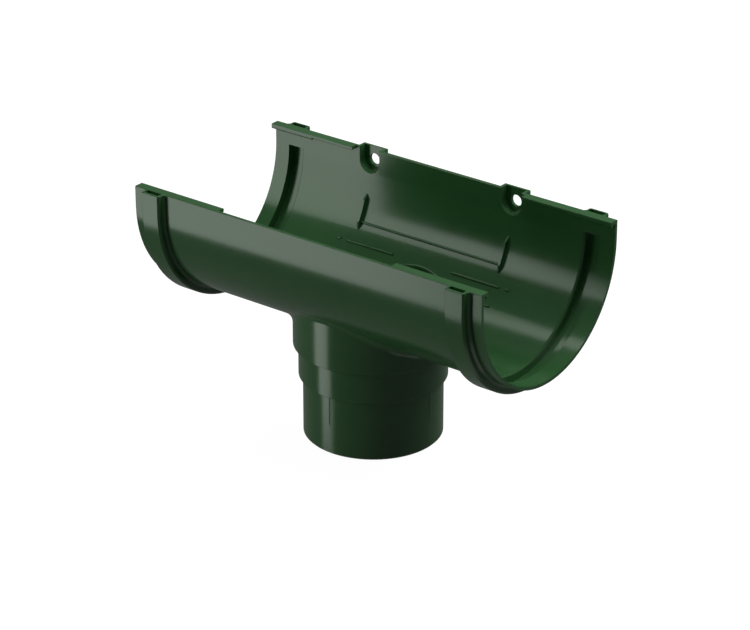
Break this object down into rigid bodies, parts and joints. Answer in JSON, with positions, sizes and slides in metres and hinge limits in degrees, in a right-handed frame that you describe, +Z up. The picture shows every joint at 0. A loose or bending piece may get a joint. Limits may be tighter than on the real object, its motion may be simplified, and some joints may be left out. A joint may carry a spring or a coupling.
{
  "type": "gutter outlet",
  "caption": "Half-round gutter outlet moulded in one piece: open trough with seal grooves and hooked lips, screw bosses and a stepped downpipe spigot.",
  "frame": {"origin": "on the spigot's axis at its lower end, which the object stands on", "axes": "+X along the gutter, +Y towards the fascia board behind it, +Z up"},
  "size_m": [0.24, 0.1357, 0.14],
  "materials": {
    "green_pvc": "glossy moulded"
  },
  "bodies": {
    "root": {"gutter_outlet": "green_pvc"}
  },
  "joints": []
}
